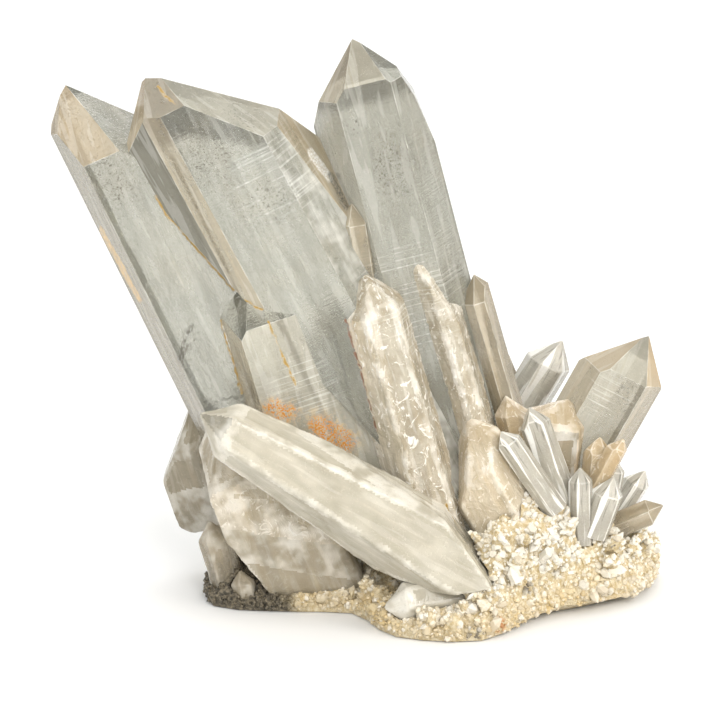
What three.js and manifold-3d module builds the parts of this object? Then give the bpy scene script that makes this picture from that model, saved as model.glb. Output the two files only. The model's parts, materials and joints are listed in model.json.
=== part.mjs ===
// A cluster of clear quartz crystals, grown together on a crust of small quartz points.
// Millimetres, +Z up. The cluster is seen from -Y, with +X to the right, and rests on its flat cut base.
import * as THREE from "three";
import { ConvexGeometry } from "three/addons/geometries/ConvexGeometry.js";
import { mergeVertices } from "three/addons/utils/BufferGeometryUtils.js";
import Module from "manifold-3d";

const wasm = await Module();
wasm.setup();

// Quartz: six prism faces 60 degrees apart, and tip faces that lean this far from the long axis.
const FACES = 6;
const TIP_SLOPE = 38.2;
const FOOT_GAP = 0.3; // room between a crystal's foot and the base it stands in
const LOWEST_FOOT = 1.6; // no crystal reaches lower than this above the flat base
const SAME_POINT = 0.02; // corners closer than this are one corner
const ON_FACE = 1e-6; // a corner this far outside a face still lies on it
const NEARLY_PARALLEL = 1e-4; // three directions that span less room than this never meet
const PLAN_CENTRE = [0.2, 1.9]; // middle of the whole cluster seen from above

// Each crystal has its tip, its lean to the left and its nod to the front in degrees, and its length.
// turn is the direction of its first prism face, counted from the right towards the front.
// sides are the distances of the six prism faces from the line down from the tip, halfway down, and
// tips says how far outside the tip point each of the six tip faces passes. A face that never grew is
// null. taper is the angle by which the prism faces open towards the foot.
// A bevel is one more face: its direction, its slope from the axis, and a point on it given as a
// distance down from the tip and a distance out.
const CRYSTALS = {
  left_tall: {
    tip: [-58.5, 9, 103.2], lean: 25, length: 112, turn: 95,
    sides: [11.5, 6.9, 4.7, 5, 16, 20],
    tips: [0, 1, 0, 1, 0, 0],
  },
  left_broad: {
    tip: [-42, -3, 106.9], lean: 27.5, length: 112, turn: 98,
    sides: [5.8, null, 17, 14, 26.6, 17.7],
    tips: [0, 0, 1.5, 2, 6, 2.2],
    bevels: [
      [312, TIP_SLOPE, 0, 0], [20, 4, 37, 20.5], [112, 0, 40, 5.5], [128, 0, 40, 5.9],
      [185, 0, 40, 10.1], [178, -15, 22.5, 10],
    ],
  },
  middle_tall: {
    tip: [-1, 1, 113.7], lean: 14.5, length: 106, turn: 90,
    sides: [6.2, 8.6, 13.1, 12, 10.2, 7.4],
    tips: [0, 0.6, 0.8, 1, 0, 0.5],
    bevels: [[0, 16, 13.5, 8.5], [0, 8.5, 22, 9.8]],
  },
  front_broad: {
    tip: [-22.4, 0, 72], lean: 16, length: 59, turn: 78,
    sides: [10.6, null, 14, 8, 16, 18.5],
    tips: [0, 0, 2, 1, 0, 0],
    bevels: [[158, 0, 40, 9.4]],
  },
  low_front_body: {
    tip: [-28, 0, 42], lean: 20, length: 60, turn: 90,
    sides: [12.4, 14, 11.5, 10, 11, 18],
    tips: [0, 0, 0, 0, 0, 0],
    bevels: [
      [180, 0, 18, 8.2], [180, -16, 27, 8], [180, -37, 39.5, 4.6],
      [95, -9, 26, 12.6], [0, 0, 30, 15],
    ],
  },
  rough_left: {
    tip: [1.2, -9, 68.8], lean: 16, length: 66, turn: 80,
    sides: [5.5, 5.9, 8.3, 7, 5.2, 5.3],
    tips: [0, 0, null, 1, 1, 0],
    bevels: [[165, 55, 5.5, 8]],
  },
  rough_sliver: {
    tip: [-1.6, -2, 81.6], lean: 8, length: 60, turn: 80,
    sides: [3.2, 3, 3, 3, 3.2, 3],
    tips: [0, 0, 0.5, 0, 0, 0],
  },
  rough_right: {
    tip: [11.1, -3, 72.7], lean: 16, length: 66, turn: 75,
    sides: [5, 3, 2.2, 3, 5, 5],
    tips: [0, 0, 0, 0, 0, 0],
    bevels: [[20, 16, 12, 4]],
  },
  right_step: {
    tip: [22.7, 2, 66.2], lean: 16, length: 56, turn: 80,
    sides: [4, 4, 5, 5, 2, 2],
    tips: [0, 0, 0, 1, 0, 0],
  },
  milky_long: {
    tip: [-31.8, -18, 43.3], lean: 59.5, length: 70, turn: 78, taper: 5,
    sides: [7.4, 8, 7.9, 7, 7.8, 7.4],
    tips: [0, 0, 0, 0, 0, 0],
    bevels: [[180, -14, 52.5, 8.3], [180, -38, 61.3, 3.8], [0, -24, 58.2, 4.6], [0, -0.5, 33.5, 7.4]],
  },
  milky_low: {
    tip: [4.3, -25, 5.2], lean: 96, nod: 14, length: 23, turn: 60,
    sides: [3.6, 3.6, 3.4, 4, 4, 4],
    tips: [0, 0.5, 0, 0, 0, 0],
  },
  stubby_tan: {
    tip: [22.6, -8, 39.3], lean: 30, length: 32, turn: 100,
    sides: [7.5, 12, 12.5, 10.5, 3, 3.4],
    tips: [0, 1.4, 5, 2.6, 0, 0],
    bevels: [[178, 62, 5, 11.5]],
  },
  clear_pair_right: {
    tip: [33.6, -6, 41], lean: 20, length: 26, turn: 100,
    sides: [2.6, 3, 3, 2.6, 2.8, 2.8],
    tips: [0.6, 0, 0, 0.6, 0, 0],
  },
  clear_pair_left: {
    tip: [27.9, -12, 37.7], lean: 34, length: 20, turn: 75,
    sides: [2.2, 2.2, 2.2, 2.4, 2.4, 2.2],
    tips: [0, 0.6, 0, 0.5, 0, 0],
  },
  tan_behind_pair: {
    tip: [29, -3, 42.6], lean: 14, length: 26, turn: 85,
    sides: [3.4, 2.8, 2.6, 3.4, 4, 4],
    tips: [0.5, 0, 0, 0.5, 0, 0],
  },
  tan_block: {
    tip: [41.3, 0, 41.1], lean: -6, length: 26, turn: 80,
    sides: [5.4, 6.6, 9, 5, 4.6, 4.6],
    tips: [1, null, null, 0, 1, 0.5],
    bevels: [[165, 66, 0, 0]],
  },
  tan_chip_left: {
    tip: [48.1, -3, 34], lean: -4, length: 18, turn: 90,
    sides: [2.6, 2.6, 2.8, 2.6, 2.8, 2.6],
    tips: [0, 0.6, 0, 0, 0, 0],
  },
  tan_chip_right: {
    tip: [52.7, -6, 34.5], lean: -27, length: 20, turn: 80,
    sides: [1.8, 2.2, 2.2, 1.8, 1.6, 1.6],
    tips: [0, 0, 0, 0, 0, 0],
  },
  right_large: {
    tip: [58.1, 5, 52.7], lean: -28, length: 48, turn: 92,
    sides: [6.6, 8.4, 8.8, 7, 6.8, 6.4],
    tips: [0, 0.6, 0, 0.6, 0, 0],
  },
  behind_right: {
    tip: [41.4, 17, 48.7], lean: -29, length: 40, turn: 85,
    sides: [4.4, 4.6, 4.4, 4.4, 4, 4],
    tips: [0, 0, 0, 0, 0, 0],
  },
  behind_small: {
    tip: [30.5, 19, 45.2], lean: -20, length: 36, turn: 88,
    sides: [2.6, 2.6, 3, 2.6, 3, 2.6],
    tips: [0, 0, 0, 0, 0, 0],
  },
  low_left_blunt: {
    tip: [-33, 15, 40.2], lean: 18, length: 29.5, turn: 60,
    sides: [5, 9, 13.5, 9, 5, 4],
    tips: [0, 0, 0, 0, 0, 0],
    bevels: [[120, -14, 25, 9], [180, -50, 28, 13.2]],
  },
  low_left_upright: {
    tip: [-30.5, -3, 16.6], lean: 15, length: 17, turn: 85,
    sides: [3.2, 3, 3, 3.2, 3.4, 3.2],
    tips: [0, 0, 0, 0, 0, 0],
  },
  low_left_point: {
    tip: [-24.1, -8, 7.8], lean: 10, length: 7, turn: 80,
    sides: [2.4, 2.2, 2.2, 2.4, 2.4, 2.4],
    tips: [0, 0, 0, 0, 0, 0],
  },
  right_small_a: {
    tip: [43.8, -9, 29.4], lean: 2, length: 16, turn: 80,
    sides: [2.2, 2.2, 2.2, 2.2, 2.2, 2.2],
    tips: [0, 0, 0, 0, 0, 0],
  },
  right_small_b: {
    tip: [50.7, -8, 27.2], lean: -18, length: 13, turn: 80,
    sides: [3, 3.2, 3, 3, 2.6, 2.8],
    tips: [0, 0, 0, 0, 0, 0],
  },
  right_small_c: {
    tip: [57.9, 4, 24.9], lean: -30, length: 20, turn: 80,
    sides: [2.6, 2.6, 2.8, 2.6, 2.2, 2.2],
    tips: [0, 0, 0, 0, 0, 0],
  },
  right_small_d: {
    tip: [61.2, -2, 19.3], lean: -66, length: 24, turn: 80,
    sides: [2.6, 2.4, 2.4, 2.6, 2.8, 2.8],
    tips: [0, 0, 0, 0, 0, 0],
  },
  right_small_e: {
    tip: [51.7, 0, 28.2], lean: -8, length: 18, turn: 80,
    sides: [1.8, 1.8, 1.8, 1.8, 1.8, 1.8],
    tips: [0, 0, 0, 0, 0, 0],
  },
  back_left: {
    tip: [-24, 27, 40], lean: 28, nod: -22, length: 44, turn: 85,
    sides: [6, 5.4, 5, 6, 5.6, 5.8],
    tips: [0, 0.4, 0, 0, 0, 0.4],
  },
  back_middle: {
    tip: [-4, 31, 56], lean: 8, nod: -20, length: 58, turn: 80,
    sides: [7, 6.4, 6, 7, 6.6, 6.4],
    tips: [0, 0, 0.5, 0, 0.5, 0],
  },
  back_right: {
    tip: [20, 33, 44], lean: -8, nod: -24, length: 46, turn: 90,
    sides: [4.8, 5, 4.6, 4.8, 5.2, 5],
    tips: [0, 0, 0, 0.6, 0, 0],
  },
  back_low: {
    tip: [42, 30, 30], lean: -30, nod: -30, length: 34, turn: 85,
    sides: [4, 4.2, 4, 4, 4.4, 4],
    tips: [0, 0, 0, 0, 0.4, 0],
  },
};

// The base's edge seen from above, anticlockwise from its right end: x, y, and how far the
// underside has risen there above the flat cut.
const BASE_EDGE = [
  [60.5, 5, 1], [61, 18, 0], [47, 31, 0], [20, 34, 0], [-5, 32, 0], [-25, 23, 0], [-31, 8, 0],
  [-30, -8.5, 0], [-14, -12, 0], [-2, -13, 0], [2, -19, 0], [5, -26, 0], [11, -29.5, 0],
  [23, -30.5, 0], [29, -26, 0.4], [34, -20, 1.2], [40, -16, 2], [48, -12, 2.2], [56, -6, 1.6],
];
const BASE_MIDDLE = [15, 2]; // the rings of the base's top run round this place
const BASE_SECTORS = 44;
const BASE_RINGS = 8;
const BASE_LIP = 2.2; // height of the steep rim
const FLAT_SHARE = 0.84; // how far out the flat cut reaches
const RIM_UNDER = 0.985; // the rim's lower edge is drawn in by this much
const LEAST_HEIGHT = 1.5; // of the base's top away from its rim
const RIM_ROUNDNESS = 8; // the higher, the later the top falls away to its rim
// Humps of the base under the crystals: x, y, height and reach.
const BASE_HUMPS = [
  [34, -12, 23, 14], [46, -4, 18, 12], [47, 10, 13, 15], [30, 18, 13, 20], [4, 10, 12, 20],
  [-16, 12, 9, 14], [27, -20, 11, 8], [12, -22, 5, 8], [-25, -5, 6, 6],
];
const BASE_ROUGHNESS = 0.7; // height of its small unevenness
const RIPPLE = [0.9, 0.4, 0.3, 0.8]; // how quickly the small unevenness changes, in radians a mm

// Small quartz points of the crust: how many, and their thickness and height from least to most.
const POINTS = 130;
const POINT_RADIUS = [0.9, 2];
const POINT_HEIGHT = [1.6, 4.2];
const POINT_SPREAD = [0.68, 0.985]; // where they stand between the middle and the rim
const POINT_STRIDE = 0.618; // share of the way round from one point to the next
const POINT_SEED = 7;
const POINT_LEAN = 0.7; // how far they stray from standing square to the surface
const POINT_RISE = 0.35; // how much more upright they stand than the surface faces
const POINT_TAPER = 1.1; // height of a point's tip for its thickness
const POINT_CLEARANCE = 0.8; // least room between a point's foot and a crystal
const LOWEST_POINT = 0.4; // nothing of a point is lower than this above the flat cut

const radians = THREE.MathUtils.degToRad;

// A crystal's own directions: to the right, to the front, and up its long axis.
function directionsOf({ lean, nod = 0 }) {
  const tilt = radians(lean);
  const bow = radians(nod);
  const right = new THREE.Vector3(Math.cos(tilt), 0, Math.sin(tilt));
  const axis = new THREE.Vector3(
    -Math.sin(tilt) * Math.cos(bow),
    -Math.sin(bow),
    Math.cos(tilt) * Math.cos(bow),
  );
  const front = new THREE.Vector3().crossVectors(right, axis);
  return { right, front, axis };
}

// One flat face, through the point that lies along below the tip and out from the axis line.
function faceOf(tip, directions, [azimuth, slope, along, out], grow) {
  const { right, front, axis } = directions;
  const outward = right
    .clone()
    .multiplyScalar(Math.cos(radians(azimuth)))
    .addScaledVector(front, Math.sin(radians(azimuth)));
  const point = tip.clone().addScaledVector(axis, -along).addScaledVector(outward, out);
  const normal = outward
    .multiplyScalar(Math.cos(radians(slope)))
    .addScaledVector(axis, Math.sin(radians(slope)));
  return new THREE.Plane(normal, -normal.dot(point) - grow);
}

// All the faces of a crystal, each moved outwards by grow.
function facesOf(crystal, grow) {
  const tip = new THREE.Vector3(...crystal.tip);
  const directions = directionsOf(crystal);
  const taper = crystal.taper ?? 0;
  const list = [];
  for (let side = 0; side < FACES; side++) {
    const azimuth = crystal.turn + (side * 360) / FACES;
    const out = crystal.sides[side];
    if (out !== null) list.push([azimuth, taper, crystal.length / 2, out]);
    if (crystal.tips[side] !== null) list.push([azimuth, TIP_SLOPE, 0, crystal.tips[side]]);
  }
  list.push(...(crystal.bevels ?? []));
  const faces = list.map((face) => faceOf(tip, directions, face, grow));
  const foot = tip.clone().addScaledVector(directions.axis, -crystal.length);
  const under = directions.axis.clone().negate();
  faces.push(new THREE.Plane(under, -under.dot(foot) - grow));
  faces.push(new THREE.Plane(new THREE.Vector3(0, 0, -1), LOWEST_FOOT - grow));
  return faces;
}

// The point where three planes meet, or null where two of them are nearly parallel.
function meeting(a, b, c) {
  const bc = new THREE.Vector3().crossVectors(b.normal, c.normal);
  const size = a.normal.dot(bc);
  if (Math.abs(size) < NEARLY_PARALLEL) return null;
  const ca = new THREE.Vector3().crossVectors(c.normal, a.normal);
  const ab = new THREE.Vector3().crossVectors(a.normal, b.normal);
  return bc
    .multiplyScalar(-a.constant)
    .addScaledVector(ca, -b.constant)
    .addScaledVector(ab, -c.constant)
    .divideScalar(size);
}

// The corners of the body that lies inside all the faces.
function cornersOf(faces) {
  const corners = [];
  const isCorner = (point) =>
    faces.every((face) => face.distanceToPoint(point) < ON_FACE) &&
    corners.every((corner) => corner.distanceTo(point) > SAME_POINT);
  for (let i = 0; i < faces.length; i++)
    for (let j = i + 1; j < faces.length; j++)
      for (let k = j + 1; k < faces.length; k++) {
        const point = meeting(faces[i], faces[j], faces[k]);
        if (point && isCorner(point)) corners.push(point);
      }
  return corners;
}

// A closed three.js geometry as a solid that can be joined and cut.
function solidOf(geometry) {
  geometry.deleteAttribute("normal");
  geometry.deleteAttribute("uv");
  const merged = mergeVertices(geometry, ON_FACE);
  return new wasm.Manifold(
    new wasm.Mesh({
      numProp: 3,
      vertProperties: new Float32Array(merged.attributes.position.array),
      triVerts: new Uint32Array(merged.index.array),
    }),
  );
}

const crystalSolid = (crystal, grow = 0) =>
  solidOf(new ConvexGeometry(cornersOf(facesOf(crystal, grow))));

const joined = (solids) => solids.reduce((all, solid) => all.add(solid));

// The same run of numbers between 0 and 1 each time, for sizes and places that only look random.
function numbersFrom(seed) {
  const factor = 16807;
  const range = 2147483647;
  let state = seed;
  return () => {
    state = (state * factor) % range;
    return state / range;
  };
}

const edgeCurve = new THREE.CatmullRomCurve3(
  BASE_EDGE.map(([x, y, rise]) => new THREE.Vector3(x, y, rise)),
  true,
  "centripetal",
);

// Height of the base's top at a place, away from its rim.
function humpHeight(x, y) {
  const heights = BASE_HUMPS.map(([hx, hy, height, reach]) => {
    const away = Math.hypot(x - hx, y - hy) / reach;
    return height * Math.exp(-away * away);
  });
  return Math.max(LEAST_HEIGHT, Math.hypot(...heights));
}

// The base's edge at a share of the way round.
function edgeAt(around) {
  const edge = edgeCurve.getPointAt(((around % 1) + 1) % 1);
  return edge.setZ(Math.max(0, edge.z));
}

// A place on the base's top: around is 0 to 1 along the edge, spread is 0 in the middle to 1 at the rim.
function basePlace(around, spread) {
  const edge = edgeAt(around);
  const x = BASE_MIDDLE[0] + (edge.x - BASE_MIDDLE[0]) * spread;
  const y = BASE_MIDDLE[1] + (edge.y - BASE_MIDDLE[1]) * spread;
  const shoulder = Math.sqrt(Math.max(0, 1 - spread ** RIM_ROUNDNESS));
  const [across, deep, slant, long] = RIPPLE;
  const ripple = Math.sin(x * across + y * deep) * Math.sin(y * long - x * slant);
  const rise = edge.z * spread ** RIM_ROUNDNESS;
  const z = BASE_LIP + rise + (humpHeight(x, y) + BASE_ROUGHNESS * ripple) * shoulder;
  return new THREE.Vector3(x, y, z);
}

// The base's body: rings from the middle of its top out to the rim, down to the flat cut, and back in.
// A ring's second number says what it belongs to: the top 1, the rim's lower edge 0, the cut -1.
function baseSolid() {
  const profile = [];
  for (let ring = 0; ring <= BASE_RINGS; ring++) profile.push(new THREE.Vector2(ring / BASE_RINGS, 1));
  profile.push(new THREE.Vector2(RIM_UNDER, 0));
  profile.push(new THREE.Vector2(FLAT_SHARE, -1), new THREE.Vector2(0, -1));
  const geometry = new THREE.LatheGeometry(profile.reverse(), BASE_SECTORS);
  const places = geometry.attributes.position;
  for (let i = 0; i < places.count; i++) {
    const spread = Math.hypot(places.getX(i), places.getZ(i));
    const around = -Math.atan2(places.getZ(i), places.getX(i)) / (2 * Math.PI);
    const level = Math.round(places.getY(i));
    const place = basePlace(around, spread);
    if (level === 0) place.z = edgeAt(around).z;
    if (level < 0) place.z = 0;
    places.setXYZ(i, place.x, place.y, place.z);
  }
  return solidOf(geometry);
}

// The way the base's surface faces at a place.
function baseNormal(around, spread) {
  const step = -0.01;
  const here = basePlace(around, spread);
  const along = basePlace(around + step, spread).sub(here);
  const inward = basePlace(around, spread + step).sub(here);
  const normal = inward.cross(along).normalize();
  return normal.z < 0 ? normal.negate() : normal;
}

// A small six-sided point that stands at a place along a direction, with its foot sunk in.
function smallPoint(place, direction, radius, height, roll) {
  const shoulder = Math.max(0, height - radius * POINT_TAPER);
  const turn = new THREE.Quaternion().setFromUnitVectors(new THREE.Vector3(0, 0, 1), direction);
  const corners = [new THREE.Vector3(0, 0, height)];
  for (let side = 0; side < FACES; side++) {
    const angle = roll + (side * 2 * Math.PI) / FACES;
    const x = radius * Math.cos(angle);
    const y = radius * Math.sin(angle);
    corners.push(new THREE.Vector3(x, y, -radius), new THREE.Vector3(x, y, shoulder));
  }
  const placed = corners.map((corner) => corner.applyQuaternion(turn).add(place));
  const clear = placed.map((corner) => corner.setZ(Math.max(corner.z, LOWEST_POINT)));
  return solidOf(new ConvexGeometry(clear));
}

// The crust of small points round the base, with none where a crystal stands.
function crustSolids(crystalFaces) {
  const number = numbersFrom(POINT_SEED);
  const between = ([least, most], share) => least + (most - least) * share;
  const isTaken = (place) =>
    crystalFaces.some((faces) => faces.every((face) => face.distanceToPoint(place) < POINT_CLEARANCE));
  const solids = [];
  for (let i = 0; i < POINTS; i++) {
    const around = i * POINT_STRIDE + number() / POINTS;
    const spread = between(POINT_SPREAD, Math.sqrt(number()));
    const place = basePlace(around, spread);
    const direction = baseNormal(around, spread);
    direction.x += POINT_LEAN * (number() - 0.5);
    direction.y += POINT_LEAN * (number() - 0.5);
    direction.z += POINT_RISE;
    direction.normalize();
    const radius = between(POINT_RADIUS, number());
    const height = between(POINT_HEIGHT, number());
    const roll = number() * Math.PI;
    if (!isTaken(place)) solids.push(smallPoint(place, direction, radius, height, roll));
  }
  return solids;
}

// A named piece made of a solid, set so that the cluster's middle is over the origin.
function piece(name, solid, colour, roughness) {
  const { vertProperties, triVerts } = solid.getMesh();
  const geometry = new THREE.BufferGeometry();
  geometry.setAttribute("position", new THREE.BufferAttribute(new Float32Array(vertProperties), 3));
  geometry.setIndex(new THREE.BufferAttribute(new Uint32Array(triVerts), 1));
  const material = new THREE.MeshStandardMaterial({ color: colour, roughness, metalness: 0 });
  const mesh = new THREE.Mesh(geometry, material);
  mesh.name = name;
  mesh.position.set(-PLAN_CENTRE[0], -PLAN_CENTRE[1], 0);
  return mesh;
}

const all = Object.values(CRYSTALS);
const crystals = joined(all.map((crystal) => crystalSolid(crystal)));
const sockets = joined(all.map((crystal) => crystalSolid(crystal, FOOT_GAP)));
const crust = crustSolids(all.map((crystal) => facesOf(crystal, FOOT_GAP)));
const base = joined([baseSolid(), ...crust]).subtract(sockets);

const group = new THREE.Group();
group.add(piece("crystals", crystals, "#d8d6c6", 0.08));
group.add(piece("druse_base", base, "#cdbf9c", 0.45));

export default group;
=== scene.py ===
# %% [markdown]
# # A cluster of clear quartz crystals
# A hand-sized cluster: tall clear quartz prisms that lean to the left, a pair of milky ones that lie
# across the front, a burst of small ones at the right, and a crust of tiny sparkling points below.
# This lesson first sets up the view, then cuts every crystal out of a plain prism by its own growth
# faces, grows them together, strews the crust, hangs veils inside, and last mixes the finishes and
# the light.

# %% Load the frame
import json
import math
import random

import bmesh
import bpy
from mathutils import Matrix, Vector, noise

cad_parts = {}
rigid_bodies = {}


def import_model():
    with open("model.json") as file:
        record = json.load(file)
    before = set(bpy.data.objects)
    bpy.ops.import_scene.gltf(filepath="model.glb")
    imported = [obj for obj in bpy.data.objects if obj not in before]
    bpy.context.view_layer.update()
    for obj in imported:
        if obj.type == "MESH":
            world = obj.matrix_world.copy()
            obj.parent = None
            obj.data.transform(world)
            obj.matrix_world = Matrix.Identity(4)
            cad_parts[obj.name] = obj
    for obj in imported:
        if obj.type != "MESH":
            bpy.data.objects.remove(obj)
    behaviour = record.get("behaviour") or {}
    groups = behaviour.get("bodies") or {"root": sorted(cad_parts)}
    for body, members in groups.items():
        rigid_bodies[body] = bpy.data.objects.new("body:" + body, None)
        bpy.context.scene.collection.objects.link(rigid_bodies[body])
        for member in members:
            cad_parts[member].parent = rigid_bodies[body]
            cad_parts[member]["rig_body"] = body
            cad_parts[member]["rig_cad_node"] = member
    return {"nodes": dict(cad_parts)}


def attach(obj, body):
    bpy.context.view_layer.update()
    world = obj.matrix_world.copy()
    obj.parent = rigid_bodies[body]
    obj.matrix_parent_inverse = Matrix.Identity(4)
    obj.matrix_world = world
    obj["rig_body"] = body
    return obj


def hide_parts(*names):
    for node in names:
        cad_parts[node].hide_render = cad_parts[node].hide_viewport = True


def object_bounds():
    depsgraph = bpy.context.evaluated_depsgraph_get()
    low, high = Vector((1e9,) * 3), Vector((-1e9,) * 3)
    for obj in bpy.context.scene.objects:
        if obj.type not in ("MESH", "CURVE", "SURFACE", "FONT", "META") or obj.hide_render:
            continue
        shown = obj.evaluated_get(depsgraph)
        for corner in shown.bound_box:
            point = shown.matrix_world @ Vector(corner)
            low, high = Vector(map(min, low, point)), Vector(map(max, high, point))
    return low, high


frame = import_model()
cad_low, cad_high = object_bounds()
MM = 0.001
print("frame, mm:", [round(v / MM, 1) for v in (cad_high - cad_low)])

# %% [markdown]
# ## The view
# The cluster is seen from a little above and from far away, with a long lens, so that its upright
# edges stay nearly parallel. The lens looks at a place 49 mm above the surface that it rests on.

# %% Camera
PLAN_CENTRE = Vector((0.2, 1.9, 0)) * MM
CAMERA_RISE = math.radians(15)
CAMERA_DISTANCE = 800 * MM
AIM = Vector((0, 0, 49)) * MM - PLAN_CENTRE
away = Vector((0, -math.cos(CAMERA_RISE), math.sin(CAMERA_RISE)))
bpy.ops.object.camera_add(location=AIM + away * CAMERA_DISTANCE)
camera = bpy.context.object
camera.rotation_euler = (math.radians(90) - CAMERA_RISE, 0, 0)
camera.data.lens = 200
camera.data.sensor_width = 36
camera.data.clip_start = 0.01
bpy.context.scene.camera = camera
print("camera at, mm:", [round(v / MM) for v in camera.location])
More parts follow.
